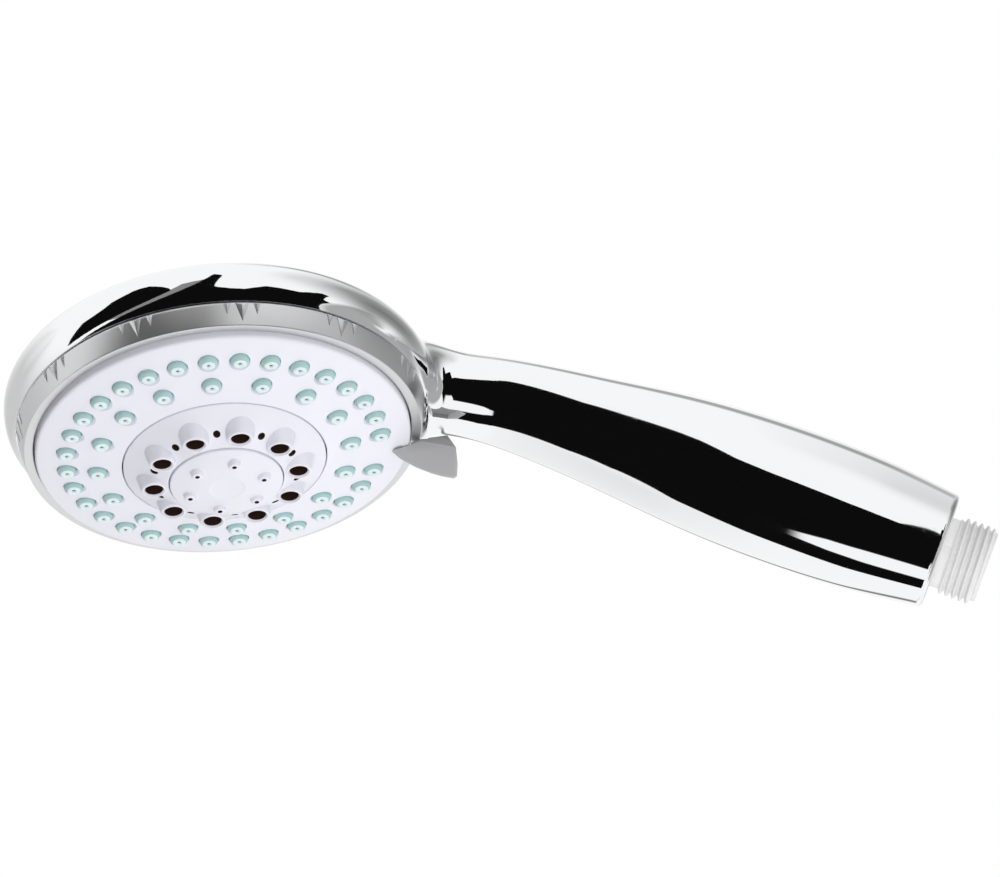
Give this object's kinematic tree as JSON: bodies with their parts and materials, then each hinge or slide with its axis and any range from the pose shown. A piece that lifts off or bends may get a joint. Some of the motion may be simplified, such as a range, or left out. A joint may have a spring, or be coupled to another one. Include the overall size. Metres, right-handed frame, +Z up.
{
  "type": "handheld shower head",
  "caption": "Handheld multi-mode shower head: chromed handle and domed head, turning nozzle face with selector lever, and a threaded hose inlet.",
  "frame": {"origin": "centre of the inlet thread's end face, where the hose washer seats", "axes": "+Z up the handle from the inlet to the head; the spray leaves towards -Y, tilted 24.5 degrees down; X across, the part is built about the plane X = 0"},
  "size_m": [0.111, 0.0838, 0.2513],
  "materials": {
    "chrome_shell": "polished",
    "chrome_bezel": "polished",
    "pearl_plastic": "satin",
    "insert_plastic": "satin",
    "teal_silicone": "matte",
    "grey_lever": "matte",
    "white_plastic": "satin",
    "inner_plastic": "matte",
    "turbine_plastic": "satin",
    "black_rubber": "matte",
    "brass_axle": "polished",
    "steel": "polished"
  },
  "bodies": {
    "body": {"body_shell": "chrome_shell", "bezel_ring": "chrome_bezel", "inlet_connector": "white_plastic", "chamber_cover": "inner_plastic", "water_tube": "inner_plastic", "valve_body": "inner_plastic", "flow_limiter": "inner_plastic", "tube_seal_head": "black_rubber", "tube_seal_inlet": "black_rubber", "connector_seal": "black_rubber", "limiter_seal": "black_rubber", "chamber_seal": "black_rubber", "axle_seal": "black_rubber", "port_seal_1": "black_rubber", "port_seal_2": "black_rubber", "face_axle": "brass_axle", "centre_screw": "steel", "centre_washer": "steel", "port_spring_1": "steel", "port_spring_2": "steel", "valve_screw_1": "steel", "valve_screw_2": "steel", "valve_screw_3": "steel", "connector_clip": "steel", "filter_screen": "steel"},
    "spray_face": {"face_plate": "pearl_plastic", "nozzle_mat": "teal_silicone", "centre_insert": "insert_plastic", "centre_cap": "insert_plastic", "selector_lever": "grey_lever", "channel_plate": "inner_plastic", "jet_plate": "inner_plastic"},
    "massage_turbine": {"turbine": "turbine_plastic"},
    "detent": {"detent_ball": "steel", "detent_spring": "steel"}
  },
  "joints": [
    {"name": "face_turn", "type": "hinge", "parent": "body", "child": "spray_face", "pos_m": [0, -0.0477, 0.19318], "axis": [0, -0.91, -0.4147], "range_deg": [-60, 60]},
    {"name": "turbine_spin", "type": "hinge", "parent": "spray_face", "child": "massage_turbine", "pos_m": [0, -0.04588, 0.19401], "axis": [0, -0.91, -0.4147], "continuous": true},
    {"name": "detent_travel", "type": "slide", "parent": "body", "child": "detent", "axis": [0, 0.91, 0.4147], "range_m": [0, 0.0008], "stiffness_N_per_m": 400, "springref_m": -0.002}
  ]
}
